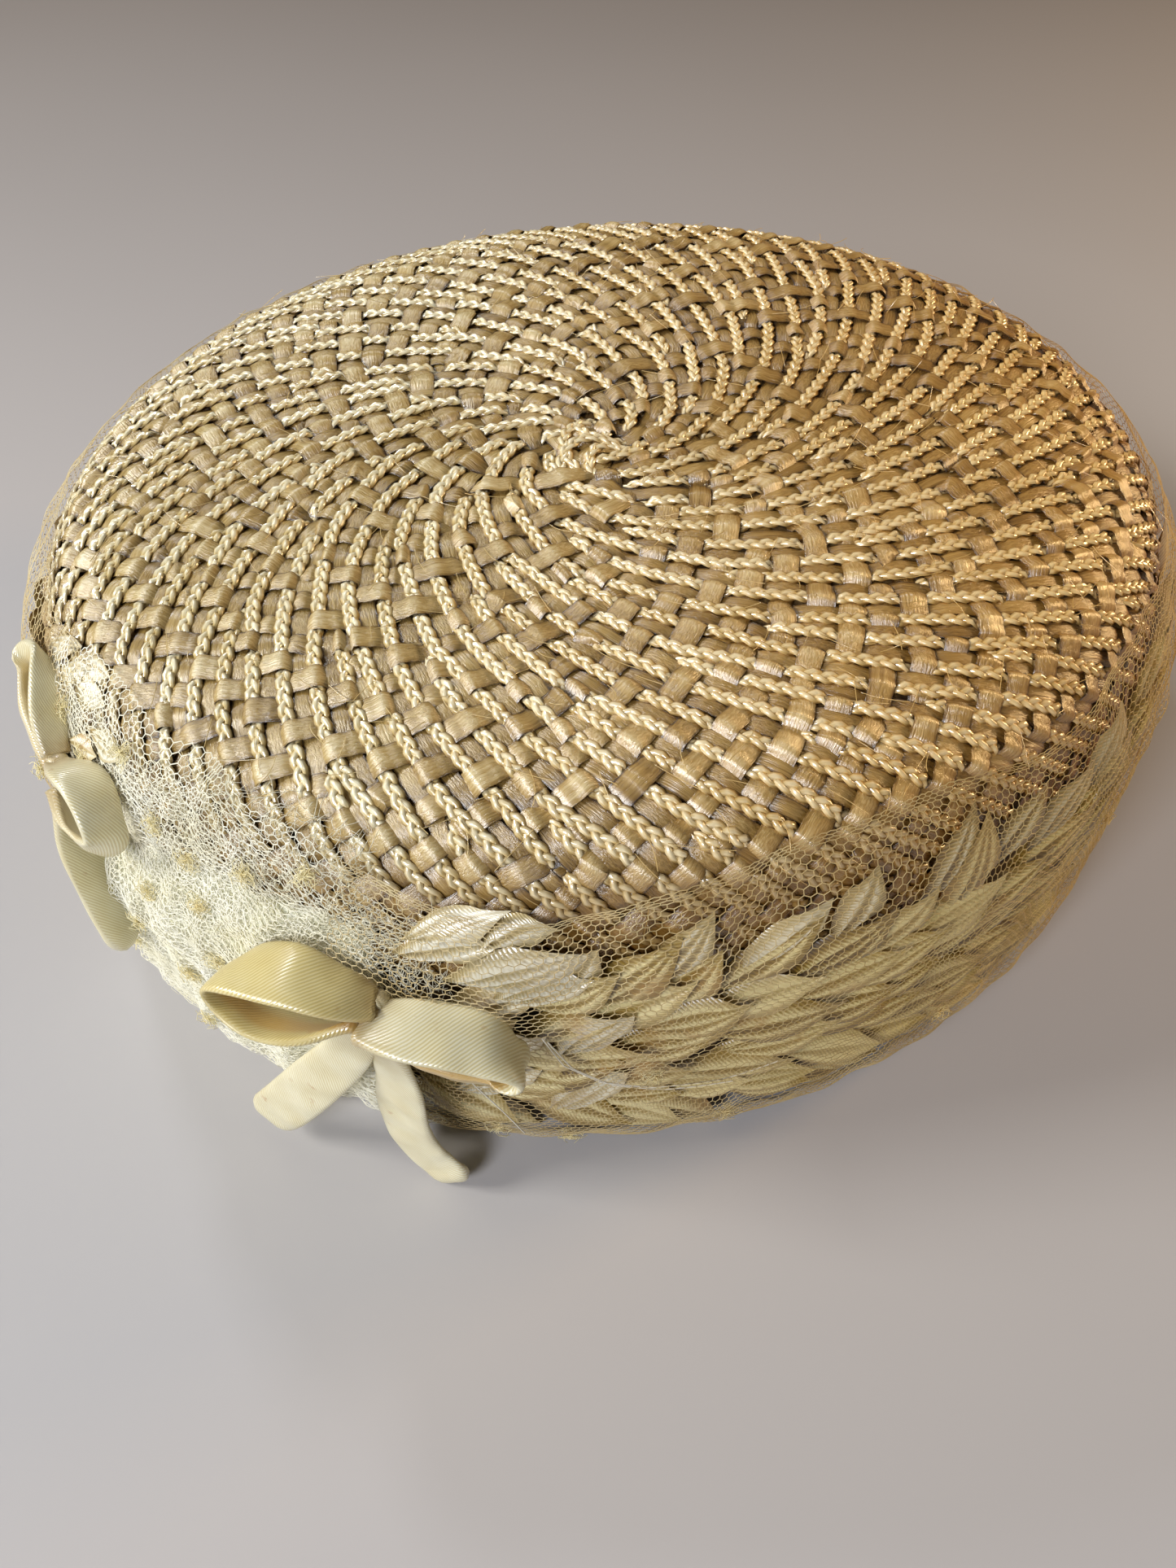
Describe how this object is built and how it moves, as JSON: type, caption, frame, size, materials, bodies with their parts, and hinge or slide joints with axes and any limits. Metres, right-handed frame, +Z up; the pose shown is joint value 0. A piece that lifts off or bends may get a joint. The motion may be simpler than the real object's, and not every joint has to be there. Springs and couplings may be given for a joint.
{
  "type": "woven straw cap with net veil and satin bows",
  "caption": "Oval pillbox-shaped cap of woven straw, its side wrapped in satin leaves under a fine net veil, with satin bows and bunched tulle at the front left.",
  "frame": {"origin": "middle of the whole outline, on the plane that the rim rests on", "axes": "+Z up through the flat top; the bows are at the front left, towards -X -Y, and the picture looks along +Y and down; the oval's long axis is turned 17 degrees from +X"},
  "size_m": [0.1936, 0.1838, 0.0722],
  "materials": {
    "straw": "tan raffia woven with glossy pale braided cord",
    "leaf_satin": "ivory satin with embossed ribs",
    "leaf_organza": "lemon-beige organza with embossed ribs",
    "net": "cream hexagonal net",
    "tulle": "dense white tulle with pale yellow dots",
    "bow_satin": "butter-cream satin, spotted with age"
  },
  "bodies": {
    "root": {"straw_crown": "straw", "leaf_spray_upper_01": "leaf_satin", "leaf_spray_upper_02": "leaf_satin", "leaf_spray_upper_03": "leaf_satin", "leaf_spray_upper_04": "leaf_satin", "leaf_spray_upper_05": "leaf_satin", "leaf_spray_upper_06": "leaf_satin", "leaf_spray_upper_07": "leaf_satin", "leaf_spray_upper_08": "leaf_satin", "leaf_spray_upper_09": "leaf_satin", "leaf_spray_upper_10": "leaf_satin", "leaf_spray_upper_11": "leaf_satin", "leaf_spray_upper_12": "leaf_satin", "leaf_spray_middle_01": "leaf_organza", "leaf_spray_middle_02": "leaf_organza", "leaf_spray_middle_03": "leaf_organza", "leaf_spray_middle_04": "leaf_organza", "leaf_spray_middle_05": "leaf_organza", "leaf_spray_middle_06": "leaf_organza", "leaf_spray_middle_07": "leaf_organza", "leaf_spray_middle_08": "leaf_organza", "leaf_spray_middle_09": "leaf_organza", "leaf_spray_middle_10": "leaf_organza", "leaf_spray_middle_11": "leaf_organza", "leaf_spray_middle_12": "leaf_organza", "leaf_spray_lower_01": "leaf_organza", "leaf_spray_lower_02": "leaf_organza", "leaf_spray_lower_03": "leaf_organza", "leaf_spray_lower_04": "leaf_organza", "leaf_spray_lower_05": "leaf_organza", "leaf_spray_lower_06": "leaf_organza", "leaf_spray_lower_07": "leaf_organza", "leaf_spray_lower_08": "leaf_organza", "leaf_spray_lower_09": "leaf_organza", "leaf_spray_lower_10": "leaf_organza", "leaf_spray_lower_11": "leaf_organza", "leaf_spray_lower_12": "leaf_organza", "veil": "net", "gathered_tulle": "tulle", "front_bow_knot": "bow_satin", "front_bow_left_loop": "bow_satin", "front_bow_right_loop": "bow_satin", "front_bow_left_tail": "bow_satin", "front_bow_right_tail": "bow_satin", "side_bow_knot": "bow_satin", "side_bow_upper_loop": "bow_satin", "side_bow_lower_loop": "bow_satin", "side_bow_tail": "bow_satin"}
  },
  "joints": []
}
